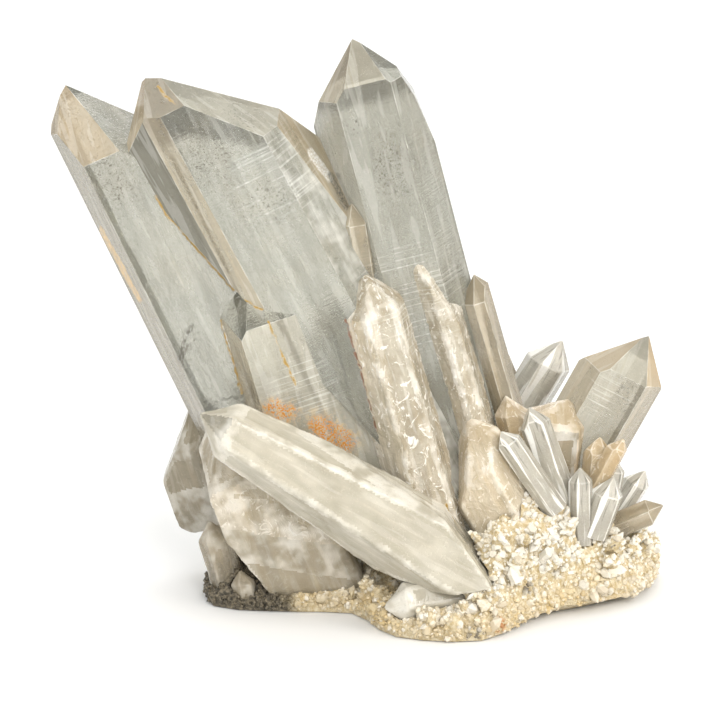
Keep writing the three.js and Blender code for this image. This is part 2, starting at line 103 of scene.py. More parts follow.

# %% [markdown]
# ## How a quartz crystal is shaped
# Quartz grows as a six-sided prism with six sloping tip faces. Every face is flat, so a crystal is
# a plain prism that is cut by one plane for each face. Each crystal below has its tip in millimetres,
# its lean to the left and its nod to the front in degrees, its length, and the direction of its first
# face. Then come the distances of its six sides from the line down from the tip, and how far outside
# the tip point each tip face passes. A bevel is one more face: its direction, its slope, and a point on
# it. None stands for a face that never grew. A look says how milky, warm and crackled a crystal is,
# how dim it is, partly from smoke and partly as painted shade, and how much painted light and painted
# reflection streak it. Tones change that for single faces, which are named by their direction and
# slope, and they also paint the light and shade that each face shows.

# %% The crystals
SLOPE = 38.2
CLEAR = dict(milk=0.0, warm=0.1, dim_and_shade=0.15, crackle=0.0, painted_light=0.2)
BRIGHT = dict(milk=0.5, warm=0.2, dim_and_shade=0.0, crackle=0.1, painted_light=1.0)
BEIGE = dict(milk=0.1, warm=0.5, dim_and_shade=0.1, crackle=0.0, painted_light=0.12)
SMOKY = dict(milk=0.25, warm=0.6, dim_and_shade=0.4, crackle=0.1, painted_light=0.1)
MILKY = dict(milk=0.9, warm=0.2, dim_and_shade=0.1, crackle=0.0, painted_light=0.12)
TAN = dict(milk=0.15, warm=0.9, dim_and_shade=0.0, crackle=0.45, painted_light=0.1)
CRACKLED = dict(milk=0.2, warm=0.6, dim_and_shade=0.0, crackle=1.0, painted_light=0.3)
# Tones for single faces partly set their own colour and partly paint the light, shade and reflections that
# each face shows.
CRYSTALS = {
    "left_tall": dict(
        look=CLEAR, tip=(-58.5, 9, 103.2), lean=25, length=112, turn=95,
        sides=(11.5, 6.9, 4.7, 5, 16, 20), tips=(0, 1, 0, 1, 0, 0),
        tones_and_shading={(95, SLOPE): dict(warm=0.75, dim_and_shade=0.5), (155, SLOPE): dict(warm=0.7, dim_and_shade=0.6),
               (95, 0): dict(dim_and_shade=0.25), (155, 0): dict(warm=0.5, dim_and_shade=0.9)}),
    "left_broad": dict(
        look=CLEAR, tip=(-42, -3, 106.9), lean=27.5, length=112, turn=98,
        sides=(5.8, None, 17, 14, 26.6, 17.7), tips=(0, 0, 1.5, 2, 6, 2.2),
        bevels=((312, SLOPE, 0, 0), (20, 4, 37, 20.5), (112, 0, 40, 5.5), (128, 0, 40, 5.9),
                (185, 0, 40, 10.1), (178, -15, 22.5, 10)),
        tones_and_shading={(98, SLOPE): dict(warm=0.45, dim_and_shade=0.35), (158, SLOPE): dict(warm=0.8, dim_and_shade=0.35),
               (128, 0): dict(warm=0.2, dim_and_shade=1.3), (112, 0): dict(warm=0.5, dim_and_shade=0.3),
               (20, 4): dict(warm=0.6, dim_and_shade=0.0, milk=0.2), (38, 0): dict(dim_and_shade=0.5),
               (38, SLOPE): dict(milk=0.4, dim_and_shade=0.1)}),
    "middle_tall": dict(
        look=CLEAR, tip=(-1, 1, 113.7), lean=14.5, length=106, turn=90,
        sides=(6.2, 8.6, 13.1, 12, 10.2, 7.4), tips=(0, 0.6, 0.8, 1, 0, 0.5),
        bevels=((0, 16, 13.5, 8.5), (0, 8.5, 22, 9.8)),
        tones_and_shading={(150, SLOPE): dict(warm=0.5, dim_and_shade=0.4), (90, SLOPE): dict(warm=0.2, milk=0.5, dim_and_shade=0.0),
               (90, 0): dict(dim_and_shade=0.6), (30, 0): dict(dim_and_shade=0.5), (150, 0): dict(warm=0.2, dim_and_shade=0.2)}),
    "front_broad": dict(
        look=CLEAR, tip=(-22.4, 0, 72), lean=16, length=59, turn=78,
        sides=(10.6, None, 14, 8, 16, 18.5), tips=(0, 0, 2, 1, 0, 0),
        bevels=((158, 0, 40, 9.4),),
        tones_and_shading={(78, 0): dict(warm=0.2, milk=0.35, dim_and_shade=0.0), (158, 0): dict(warm=0.6),
               (18, 0): dict(warm=0.65, milk=0.15, dim_and_shade=0.1)}),
    "low_front_body": dict(
        look=SMOKY, tip=(-28, 0, 42), lean=20, length=60, turn=90,
        sides=(12.4, 14, 11.5, 10, 11, 18), tips=(0, 0, 0, 0, 0, 0),
        bevels=((180, 0, 18, 8.2), (180, -16, 27, 8), (180, -37, 39.5, 4.6), (95, -9, 26, 12.6),
                (0, 0, 30, 15)),
        tones_and_shading={(90, 0): dict(warm=0.75, milk=0.3, crackle=0.5, dim_and_shade=0.0)}),
    "rough_left": dict(
        look=CRACKLED, tip=(1.2, -9, 68.8), lean=16, length=66, turn=80,
        sides=(5.5, 5.9, 8.3, 7, 5.2, 5.3), tips=(0, 0, None, 1, 1, 0),
        bevels=((165, 55, 5.5, 8),),
        tones_and_shading={(140, 0): dict(warm=1.0, milk=0.5), (165, 55): dict(warm=1.0, milk=0.3)}),
    "rough_sliver": dict(
        look=BEIGE, tip=(-1.6, -2, 81.6), lean=8, length=60, turn=80,
        sides=(3.2, 3, 3, 3, 3.2, 3), tips=(0, 0, 0.5, 0, 0, 0)),
    "rough_right": dict(
        look=CRACKLED, tip=(11.1, -3, 72.7), lean=16, length=66, turn=75,
        sides=(5, 3, 2.2, 3, 5, 5), tips=(0, 0, 0, 0, 0, 0), bevels=((20, 16, 12, 4),)),
    "right_step": dict(
        look=BEIGE, tip=(22.7, 2, 66.2), lean=16, length=56, turn=80,
        sides=(4, 4, 5, 5, 2, 2), tips=(0, 0, 0, 1, 0, 0)),
    "milky_long": dict(
        look=MILKY, tip=(-31.8, -18, 43.3), lean=59.5, length=70, turn=78, taper=5,
        sides=(7.4, 8, 7.9, 7, 7.8, 7.4), tips=(0, 0, 0, 0, 0, 0),
        bevels=((180, -14, 52.5, 8.3), (180, -38, 61.3, 3.8), (0, -24, 58.2, 4.6),
                (0, -0.5, 33.5, 7.4)),
        tones_and_shading={(78, SLOPE): dict(milk=0.35, dim_and_shade=0.2)}),
    "milky_low": dict(
        look=MILKY, tip=(4.3, -25, 5.2), lean=96, nod=14, length=23, turn=60,
        sides=(3.6, 3.6, 3.4, 4, 4, 4), tips=(0, 0.5, 0, 0, 0, 0)),
    "stubby_tan": dict(
        look={**TAN, "milk": 0.5, "crackle": 0.6}, tip=(22.6, -8, 39.3), lean=30, length=32, turn=100,
        sides=(7.5, 12, 12.5, 10.5, 3, 3.4), tips=(0, 1.4, 5, 2.6, 0, 0),
        bevels=((178, 62, 5, 11.5),)),
    "clear_pair_right": dict(
        look=BRIGHT, tip=(33.6, -6, 41), lean=20, length=26, turn=100,
        sides=(2.6, 3, 3, 2.6, 2.8, 2.8), tips=(0.6, 0, 0, 0.6, 0, 0)),
    "clear_pair_left": dict(
        look=BRIGHT, tip=(27.9, -12, 37.7), lean=34, length=20, turn=75,
        sides=(2.2, 2.2, 2.2, 2.4, 2.4, 2.2), tips=(0, 0.6, 0, 0.5, 0, 0)),
    "tan_behind_pair": dict(
        look=TAN, tip=(29, -3, 42.6), lean=14, length=26, turn=85,
        sides=(3.4, 2.8, 2.6, 3.4, 4, 4), tips=(0.5, 0, 0, 0.5, 0, 0)),
    "tan_block": dict(
        look=TAN, tip=(41.3, 0, 41.1), lean=-6, length=26, turn=80,
        sides=(5.4, 6.6, 9, 5, 4.6, 4.6), tips=(1, None, None, 0, 1, 0.5),
        bevels=((165, 66, 0, 0),),
        tones_and_shading={(80, SLOPE): dict(warm=1.0, dim_and_shade=0.5, crackle=0.1),
               (80, 0): dict(warm=1.0, dim_and_shade=1.0, milk=0.0, crackle=0.1)}),
    "tan_chip_left": dict(
        look=TAN, tip=(48.1, -3, 34), lean=-4, length=18, turn=90,
        sides=(2.6, 2.6, 2.8, 2.6, 2.8, 2.6), tips=(0, 0.6, 0, 0, 0, 0)),
    "tan_chip_right": dict(
        look=TAN, tip=(52.7, -6, 34.5), lean=-27, length=20, turn=80,
        sides=(1.8, 2.2, 2.2, 1.8, 1.6, 1.6), tips=(0, 0, 0, 0, 0, 0)),
    "right_large": dict(
        look=BEIGE, tip=(58.1, 5, 52.7), lean=-28, length=48, turn=92,
        sides=(6.6, 8.4, 8.8, 7, 6.8, 6.4), tips=(0, 0.6, 0, 0.6, 0, 0),
        tones_and_shading={(92, SLOPE): dict(milk=0.45, warm=0.1), (152, SLOPE): dict(warm=0.85, dim_and_shade=0.8),
               (32, SLOPE): dict(warm=0.9, dim_and_shade=0.35), (92, 0): dict(warm=0.2), (32, 0): dict(dim_and_shade=0.3)}),
    "behind_right": dict(
        look=BRIGHT, tip=(41.4, 17, 48.7), lean=-29, length=40, turn=85,
        sides=(4.4, 4.6, 4.4, 4.4, 4, 4), tips=(0, 0, 0, 0, 0, 0)),
    "behind_small": dict(
        look=BEIGE, tip=(30.5, 19, 45.2), lean=-20, length=36, turn=88,
        sides=(2.6, 2.6, 3, 2.6, 3, 2.6), tips=(0, 0, 0, 0, 0, 0)),
    "low_left_blunt": dict(
        look={**SMOKY, "dim_and_shade": 0.9, "milk": 0.05}, tip=(-33, 15, 40.2), lean=18, length=29.5, turn=60,
        sides=(5, 9, 13.5, 9, 5, 4), tips=(0, 0, 0, 0, 0, 0),
        bevels=((120, -14, 25, 9), (180, -50, 28, 13.2))),
    "low_left_upright": dict(
        look=BEIGE, tip=(-30.5, -3, 16.6), lean=15, length=17, turn=85,
        sides=(3.2, 3, 3, 3.2, 3.4, 3.2), tips=(0, 0, 0, 0, 0, 0)),
    "low_left_point": dict(
        look=BEIGE, tip=(-24.1, -8, 7.8), lean=10, length=7, turn=80,
        sides=(2.4, 2.2, 2.2, 2.4, 2.4, 2.4), tips=(0, 0, 0, 0, 0, 0)),
    "right_small_a": dict(
        look=BRIGHT, tip=(43.8, -9, 29.4), lean=2, length=16, turn=80,
        sides=(2.2, 2.2, 2.2, 2.2, 2.2, 2.2), tips=(0, 0, 0, 0, 0, 0)),
    "right_small_b": dict(
        look=BRIGHT, tip=(50.7, -8, 27.2), lean=-18, length=13, turn=80,
        sides=(3, 3.2, 3, 3, 2.6, 2.8), tips=(0, 0, 0, 0, 0, 0)),
    "right_small_c": dict(
        look=BRIGHT, tip=(57.9, 4, 24.9), lean=-30, length=20, turn=80,
        sides=(2.6, 2.6, 2.8, 2.6, 2.2, 2.2), tips=(0, 0, 0, 0, 0, 0)),
    "right_small_d": dict(
        look=BEIGE, tip=(61.2, -2, 19.3), lean=-66, length=24, turn=80,
        sides=(2.6, 2.4, 2.4, 2.6, 2.8, 2.8), tips=(0, 0, 0, 0, 0, 0)),
    "right_small_e": dict(
        look=BRIGHT, tip=(51.7, 0, 28.2), lean=-8, length=18, turn=80,
        sides=(1.8, 1.8, 1.8, 1.8, 1.8, 1.8), tips=(0, 0, 0, 0, 0, 0)),
    "back_left": dict(
        look=CLEAR, tip=(-24, 27, 40), lean=28, nod=-22, length=44, turn=85,
        sides=(6, 5.4, 5, 6, 5.6, 5.8), tips=(0, 0.4, 0, 0, 0, 0.4)),
    "back_middle": dict(
        look=CLEAR, tip=(-4, 31, 56), lean=8, nod=-20, length=58, turn=80,
        sides=(7, 6.4, 6, 7, 6.6, 6.4), tips=(0, 0, 0.5, 0, 0.5, 0)),
    "back_right": dict(
        look=BEIGE, tip=(20, 33, 44), lean=-8, nod=-24, length=46, turn=90,
        sides=(4.8, 5, 4.6, 4.8, 5.2, 5), tips=(0, 0, 0, 0.6, 0, 0)),
    "back_low": dict(
        look=BEIGE, tip=(42, 30, 30), lean=-30, nod=-30, length=34, turn=85,
        sides=(4, 4.2, 4, 4, 4.4, 4), tips=(0, 0, 0, 0, 0.4, 0)),
}
print("crystals:", len(CRYSTALS))

# %% [markdown]
# ## From numbers to planes
# A crystal's own directions are to the right, to the front and up its long axis. Each face is kept as
# a point and an outward direction, which is just what the bisect tool asks for.

# %% Faces of a crystal
LOWEST_FOOT = 1.6


def directions_of(spec):
    tilt, bow = math.radians(spec["lean"]), math.radians(spec.get("nod", 0))
    right = Vector((math.cos(tilt), 0, math.sin(tilt)))
    axis = Vector((-math.sin(tilt) * math.cos(bow), -math.sin(bow), math.cos(tilt) * math.cos(bow)))
    return right, right.cross(axis), axis


def face_plane(spec, azimuth, slope, along, out):
    right, front, axis = directions_of(spec)
    turn, lean = math.radians(azimuth), math.radians(slope)
    outward = right * math.cos(turn) + front * math.sin(turn)
    point = Vector(spec["tip"]) - axis * along + outward * out
    return point * MM - PLAN_CENTRE, (outward * math.cos(lean) + axis * math.sin(lean)).normalized()


def planes_of(spec):
    named = []
    for number, (side, tip) in enumerate(zip(spec["sides"], spec["tips"])):
        azimuth = spec["turn"] + 60 * number
        azimuth -= 360 * (azimuth >= 360)
        if side is not None:
            plane = face_plane(spec, azimuth, spec.get("taper", 0), spec["length"] / 2, side)
            named.append(((azimuth, 0), plane))
        if tip is not None:
            named.append(((azimuth, SLOPE), face_plane(spec, azimuth, SLOPE, 0, tip)))
    named += [(bevel[:2], face_plane(spec, *bevel)) for bevel in spec.get("bevels", ())]
    axis = directions_of(spec)[2]
    foot = (Vector(spec["tip"]) - axis * spec["length"]) * MM - PLAN_CENTRE
    named.append(("foot", (foot, -axis)))
    named.append(("cut", (Vector((0, 0, LOWEST_FOOT * MM)), Vector((0, 0, -1)))))
    return named


print("planes:", sum(len(planes_of(spec)) for spec in CRYSTALS.values()))

# %% [markdown]
# ## Cutting one crystal
# A six-sided cylinder that is larger than the crystal is added along its axis. The bisect tool then
# cuts it at each plane and closes the cut. The fine edges that are left are bevelled by a tenth to a
# quarter of a millimetre, because real edges are a little worn, and a worn edge catches the light.
# Cloudy crystals grew less evenly than clear ones. Those are remeshed in small quads and their skin
# is pushed in by a slow noise, and the crackled ones also by small tilted chips, as where glass breaks.
# The vector noise that tilts the chips starts anywhere unless it is given a seed, so it gets one.
# Each face also stores its look, whether it is a side or a worn edge, and a flat map in millimetres,
# across and down the crystal, for growth lines to follow.

# %% Cut a crystal
EDGE_WEAR = 0.1 * MM
CLOUDY_WEAR = 1.6
QUAD = 0.5 * MM
FLAT_MATCH = 0.9995
EDGE_MATCH = -0.4
SHALLOW = 0.35
CHIP_TILT, CHIP_DEPTH, HIGHEST_SKIN = 0.14, 0.06, 0.15
noise.seed_set(5)
UNEVEN = {
    "milky_long": 0.36, "milky_low": 0.3, "low_front_body": 0.35, "rough_left": 0.25, "rough_right": 0.2,
    "stubby_tan": 0.3, "tan_block": 0.15, "low_left_blunt": 0.35, "low_left_upright": 0.22,
    "low_left_point": 0.15}


def deselect_all():
    bpy.ops.object.select_all(action="DESELECT")


def face_value(mesh, name, values):
    layer = mesh.attributes.new(name, "FLOAT", "FACE")
    layer.data.foreach_set("value", values)


def cut_crystal(name, spec):
    right, front, axis = directions_of(spec)
    tip = Vector(spec["tip"]) * MM - PLAN_CENTRE
    reach = 2 * max(value for value in spec["sides"] if value) * MM + 6 * MM
    length = spec["length"] * MM
    turn = Matrix((right, front, axis)).transposed().to_euler()
    middle = tip - axis * length / 2
    deselect_all()
    bpy.ops.mesh.primitive_cylinder_add(
        vertices=6, radius=reach, depth=1.4 * length, location=middle, rotation=turn)
    crystal = bpy.context.object
    crystal.name = name
    bpy.ops.object.transform_apply(location=True, rotation=True, scale=True)
    planes = planes_of(spec)
    bpy.ops.object.mode_set(mode="EDIT")
    for _, (point, outward) in planes:
        bpy.ops.mesh.select_all(action="SELECT")
        bpy.ops.mesh.bisect(plane_co=point, plane_no=outward, use_fill=True, clear_outer=True)
    bpy.ops.mesh.select_all(action="SELECT")
    bpy.ops.mesh.remove_doubles(threshold=0.02 * MM)
    wear = EDGE_WEAR * (1 + CLOUDY_WEAR * max(spec["look"]["milk"], spec["look"]["crackle"]))
    bpy.ops.mesh.bevel(offset=wear, segments=2, affect="EDGES", clamp_overlap=True)
    bpy.ops.mesh.normals_make_consistent(inside=False)
    bpy.ops.object.mode_set(mode="OBJECT")
    if name in UNEVEN:
        roughen(crystal, spec, UNEVEN[name])
    mark_faces(crystal.data, spec, planes, name in UNEVEN)
    return crystal


def roughen(crystal, spec, depth):
    quads = crystal.modifiers.new("quads", "REMESH")
    quads.mode, quads.voxel_size = "VOXEL", QUAD
    soft = crystal.modifiers.new("soft", "SMOOTH")
    soft.factor, soft.iterations = 0.5, 1
    for modifier in (quads, soft):
        bpy.ops.object.modifier_apply(modifier=modifier.name)
    outward = [vertex.normal.copy() for vertex in crystal.data.vertices]
    chips = spec["look"]["crackle"]
    for vertex, normal in zip(crystal.data.vertices, outward):
        place = vertex.co / MM
        push = 0.5 * noise.noise(place * 0.17) + 0.35 * noise.noise(place * 0.45) + 0.12 * noise.noise(place)
        push = depth * (push - 0.25)
        if chips:
            centre = noise.voronoi(place * 0.45)[1][0]
            tilt = noise.noise_vector(centre * 3.7)
            push += chips * (tilt.dot(place - centre / 0.45) * CHIP_TILT - CHIP_DEPTH)
        vertex.co += normal * min(push, HIGHEST_SKIN) * MM


def mark_faces(mesh, spec, planes, uneven):
    right, front, axis = directions_of(spec)
    tip = Vector(spec["tip"]) * MM - PLAN_CENTRE
    map_layer = mesh.uv_layers.active or mesh.uv_layers.new()
    map_layer.name = "growth"
    values = {key: [] for key in ("uneven", "worn", "side", *spec["look"])}
    for face in mesh.polygons:
        def match(plane):
            point, outward = plane[1]
            return outward.dot(face.normal) - abs((face.center - point).dot(outward)) / MM
        ranked = sorted(planes, key=match)
        key, (point, outward) = ranked[-1]
        # A face's tones add its own colour and its painted light and shade to the crystal's look.
        tone = {**spec["look"], **spec.get("tones_and_shading", {}).get(key, {})}
        is_worn = match(ranked[-2]) > EDGE_MATCH if uneven else match(ranked[-1]) < FLAT_MATCH
        values["worn"].append(float(is_worn))
        values["uneven"].append(float(uneven))
        values["side"].append(float(abs(outward.dot(axis)) < SHALLOW))
        for quality, value in tone.items():
            values[quality].append(value)
        across = axis.cross(outward)
        across = across.normalized() if across.length > 0.05 else right
        down = across.cross(outward)
        for corner in face.loop_indices:
            offset = (mesh.vertices[mesh.loops[corner].vertex_index].co - tip) / MM
            map_layer.data[corner].uv = (offset.dot(across), offset.dot(down))
    for key, numbers in values.items():
        face_value(mesh, key, numbers)


grown = [cut_crystal(name, spec) for name, spec in CRYSTALS.items()]
print("cut:", len(grown), "faces:", sum(len(crystal.data.polygons) for crystal in grown))

# %% [markdown]
# ## Growing them together
# Crystals that touch while they grow become one body with no wall between them. A union of all
# the cut crystals gives that, and lets light pass from one into the next as it does in the real one.
# The uneven skins of the cloudy ones are then shaded smoothly, except across their sharp edges.

# %% Join the crystals
cluster = grown[0]
others = bpy.data.collections.new("others")
bpy.context.scene.collection.children.link(others)
for crystal in grown[1:]:
    others.objects.link(crystal)
union = cluster.modifiers.new("grown together", "BOOLEAN")
union.operation = "UNION"
union.solver = "MANIFOLD"
union.operand_type = "COLLECTION"
union.collection = others
deselect_all()
bpy.context.view_layer.objects.active = cluster
cluster.select_set(True)
bpy.ops.object.modifier_apply(modifier=union.name)
for crystal in grown[1:]:
    bpy.data.objects.remove(crystal)
bpy.data.collections.remove(others)
cluster.name = "crystal_cluster"
print("joined faces:", len(cluster.data.polygons))

# %% Soft skin on the cloudy ones
SHARPEST = math.radians(32)
is_uneven = cluster.data.attributes["uneven"]
for face in cluster.data.polygons:
    face.use_smooth = is_uneven.data[face.index].value > 0.5
skin = bmesh.new()
skin.from_mesh(cluster.data)
for edge in skin.edges:
    edge.smooth = edge.calc_face_angle(math.pi) < SHARPEST
skin.to_mesh(cluster.data)
skin.free()
print("soft faces:", sum(face.use_smooth for face in cluster.data.polygons))

# %% [markdown]
# ## The crust
# Under the crystals lies a crust of tiny quartz points on a little of the rock. Its lumpy body is a copy
# of the frame's base, because that already fits round every crystal's foot. It is merged, divided,
# and pushed in and out by half a millimetre, so that it reads as rough stone where it shows.

# %% The crust's body
def smoothed(value):
    value = min(1, max(0, value))
    return value * value * (3 - 2 * value)


deselect_all()
crust_body = frame["nodes"]["druse_base"].copy()
crust_body.data = crust_body.data.copy()
crust_body.name = "crust_body"
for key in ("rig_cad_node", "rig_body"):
    if key in crust_body:
        del crust_body[key]
bpy.context.scene.collection.objects.link(crust_body)
crust_body.select_set(True)
bpy.context.view_layer.objects.active = crust_body
bpy.ops.object.mode_set(mode="EDIT")
bpy.ops.mesh.select_all(action="SELECT")
bpy.ops.mesh.remove_doubles(threshold=0.001 * MM)
bpy.ops.mesh.subdivide(number_cuts=2)
bpy.ops.object.mode_set(mode="OBJECT")
ROCK_ROUGHNESS = 0.6
outward = [vertex.normal.copy() for vertex in crust_body.data.vertices]
for vertex, normal in zip(crust_body.data.vertices, outward):
    place = vertex.co / MM
    lift = smoothed((place.z - 0.4) / 2)
    push = noise.noise(place * 0.6) + 0.6 * noise.noise(place * 1.7) - 0.2
    vertex.co += normal * push * ROCK_ROUGHNESS * lift * MM
    for i in range(2):
        vertex.co[i] = min(max(vertex.co[i], cad_low[i] + 0.02 * MM), cad_high[i] - 0.02 * MM)
print("crust body faces:", len(crust_body.data.polygons))

# %% [markdown]
# ## Thousands of small points
# A single point is a six-sided prism whose top is drawn out to a tip. It is modelled once, and
# copies of it, each with its own size and lean, stand all over the crust wherever no crystal stands.
# Thousands of objects would take minutes to join, so each copy's mesh goes straight into one heap.

# %% One small point
deselect_all()
bpy.ops.mesh.primitive_cylinder_add(vertices=6, radius=1, depth=2, location=(0, 0, 0))
small_point = bpy.context.object
for vertex in small_point.data.vertices:
    vertex.select = vertex.co.z > 0.5
for edge in small_point.data.edges:
    edge.select = all(small_point.data.vertices[i].select for i in edge.vertices)
for face in small_point.data.polygons:
    face.select = face.normal.z > 0.9
bpy.ops.object.mode_set(mode="EDIT")
bpy.ops.mesh.select_mode(type="FACE")
bpy.ops.mesh.extrude_region_move(TRANSFORM_OT_translate={"value": (0, 0, 1.1)})
bpy.ops.mesh.merge(type="CENTER")
bpy.ops.object.mode_set(mode="OBJECT")
print("faces of a small point:", len(small_point.data.polygons))

# %% Places on the crust
chance = random.Random(11)
all_planes = [[plane for _, plane in planes_of(spec)] for spec in CRYSTALS.values()]


def in_a_crystal(place, room):
    return any(all((place - co).dot(no) < room for co, no in planes) for planes in all_planes)


def strewn(count, lowest, choose):
    mesh = crust_body.data
    mesh.calc_loop_triangles()
    faces = [t for t in mesh.loop_triangles if t.normal.z > -0.5]
    places = []
    for face in chance.choices(faces, [t.area for t in faces], k=count):
        a, b = sorted((chance.random(), chance.random()))
        corners = [mesh.vertices[i].co for i in face.vertices]
        place = corners[0] * a + corners[1] * (b - a) + corners[2] * (1 - b)
        if place.z > lowest * MM and choose(place / MM) and not in_a_crystal(place, -0.2 * MM):
            places.append((place, face.normal.copy()))
    return places


print("planes to keep clear of:", sum(len(planes) for planes in all_planes))


# %% Stand a point in each place
def stand_points(name, places, radius, height, straying, sink=0.35):
    heap = bmesh.new()
    for place, normal in places:
        stray = Vector([chance.uniform(-straying, straying) for _ in range(3)])
        upright = (normal + stray).normalized()
        size = radius[0] + (radius[1] - radius[0]) * chance.random() ** 2
        tall = size * chance.uniform(*height)
        turn = upright.to_track_quat("Z", "Y").to_matrix().to_4x4()
        roll = Matrix.Rotation(chance.uniform(0, math.pi), 4, "Z")
        grow = Matrix.Diagonal((size * MM, size * chance.uniform(0.7, 1) * MM, tall * MM, 1))
        move = Matrix.Translation(place - upright * tall * sink * MM) @ turn @ roll @ grow
        corners = [move @ vertex.co for vertex in small_point.data.vertices]
        fits = all(
            cad_low[i] + 0.05 * MM < c[i] < cad_high[i] - 0.05 * MM for i in range(2) for c in corners)
        if fits and min(c.z for c in corners) > 0.1 * MM:
            copy = small_point.data.copy()
            copy.transform(move)
            heap.from_mesh(copy)
            bpy.data.meshes.remove(copy)
    mesh = bpy.data.meshes.new(name)
    heap.to_mesh(mesh)
    heap.free()
    each = len(small_point.data.polygons)
    # Each grain gets a random value; in the crust's finish the highest paint a grain white as a glint and
    # the lowest make it darker brown.
    grain_values = [chance.random() for _ in range(len(mesh.polygons) // each)]
    face_value(mesh, "grain_tone_and_glint", [grain_tone_and_glint for grain_tone_and_glint in grain_values for _ in range(each)])
    piece = bpy.data.objects.new(name, mesh)
    bpy.context.scene.collection.objects.link(piece)
    print(name, "faces:", len(mesh.polygons))
    return piece


def on_the_druse(place):
    return place.x > -13 or place.y > 6


def on_the_rim(place):
    return place.z < 4 and on_the_druse(place)


def under_the_burst(place):
    return place.x > 17


def on_the_rock(place):
    return not on_the_druse(place)


places = strewn(9500, 0.5, on_the_druse)
sugar = stand_points("crust_sugar", places, (0.24, 0.6), (0.5, 0.9), 0.8)
places = strewn(9000, 0.3, on_the_rim)
rim_sugar = stand_points("rim_sugar", places, (0.2, 0.5), (0.5, 1.0), 0.8, 0.1)
places = strewn(3000, 0.7, on_the_druse)
small_points = stand_points("crust_points", places, (0.4, 0.95), (0.6, 1.1), 0.7)
places = strewn(520, 2.5, under_the_burst)
clear_points = stand_points("clear_points", places, (0.6, 1.4), (0.8, 1.4), 0.6, 0.25)
places = strewn(12000, 0.3, on_the_rock)
rock_crumbs = stand_points("rock_crumbs", places, (0.2, 0.6), (0.5, 1.1), 0.9, 0.2)
bpy.data.objects.remove(small_point)

# %% [markdown]
# ## Veils inside the crystals
# While a crystal grows it traps thin sheets of tiny bubbles, and healed cracks leave more of them. They
# look like wisps of smoke that hang inside. One grid is modelled, and each wavy copy of it hangs
# inside a crystal, mostly along its length, wherever the whole sheet fits behind the faces.

# %% Veils
VEIL_ROOM = 0.5
chance = random.Random(23)
deselect_all()
bpy.ops.mesh.primitive_grid_add(x_subdivisions=20, y_subdivisions=20, size=1, location=(0, 0, 0))
veil = bpy.context.object
sheets = bmesh.new()
hung = 0
for spec, planes in zip(CRYSTALS.values(), all_planes):
    right, front, axis = directions_of(spec)
    thin = min(side for side in spec["sides"] if side)
    for _ in range(int(2 + spec["length"] / 14) if thin > 2 else 0):
        along = spec["length"] * chance.uniform(0.12, 0.65)
        shift = right * chance.uniform(-0.5, 0.5) * thin + front * chance.uniform(-0.3, 0.6) * thin
        middle = (Vector(spec["tip"]) - axis * along + shift) * MM - PLAN_CENTRE
        across = (right + front * chance.uniform(-0.6, 0.6)).normalized()
        down = (axis + right * chance.uniform(-0.5, 0.5) + front * chance.uniform(-0.2, 0.2)).normalized()
        wide = thin * chance.uniform(0.6, 1.7) * MM
        tall = wide * chance.uniform(1.0, 3.2)
        copy = veil.data.copy()
        for vertex in copy.vertices:
            x, y = vertex.co.x, vertex.co.y
            wave = noise.noise(Vector((x * 2.5, y * 4, along))) * 0.12 * wide
            vertex.co = middle + across * x * wide + down * y * tall + across.cross(down) * wave
        if all(all((v.co - co).dot(no) < -VEIL_ROOM * MM for co, no in planes) for v in copy.vertices):
            sheets.from_mesh(copy)
            hung += 1
        bpy.data.meshes.remove(copy)
veil_mesh = bpy.data.meshes.new("inner_veils")
sheets.to_mesh(veil_mesh)
sheets.free()
inner_veils = bpy.data.objects.new("inner_veils", veil_mesh)
bpy.context.scene.collection.objects.link(inner_veils)
bpy.data.objects.remove(veil)
print("veils:", hung)

# %% [markdown]
# ## Mixing finishes
# A finish is a small tree of nodes. The two classes below let it be written as sums: a wire is one
# output, wires and numbers can be added and multiplied, and every other node comes from one method.

# %% Wires
class Wire:
    def __init__(self, paint, socket):
        self.paint = paint
        self.socket = socket

    def math(self, operation, first, second, clamp=False):
        settings = {"operation": operation, "use_clamp": clamp}
        return self.paint.node("Math", settings, {0: first, 1: second})

    def __add__(self, other):
        return self.math("ADD", self, other)

    def __sub__(self, other):
        return self.math("SUBTRACT", self, other)

    def __rsub__(self, other):
        return self.math("SUBTRACT", other, self)

    def __mul__(self, other):
        return self.math("MULTIPLY", self, other)

    def least(self, other):
        return self.math("MINIMUM", self, other)

    def most(self, other):
        return self.math("MAXIMUM", self, other)

    __radd__ = __add__
    __rmul__ = __mul__


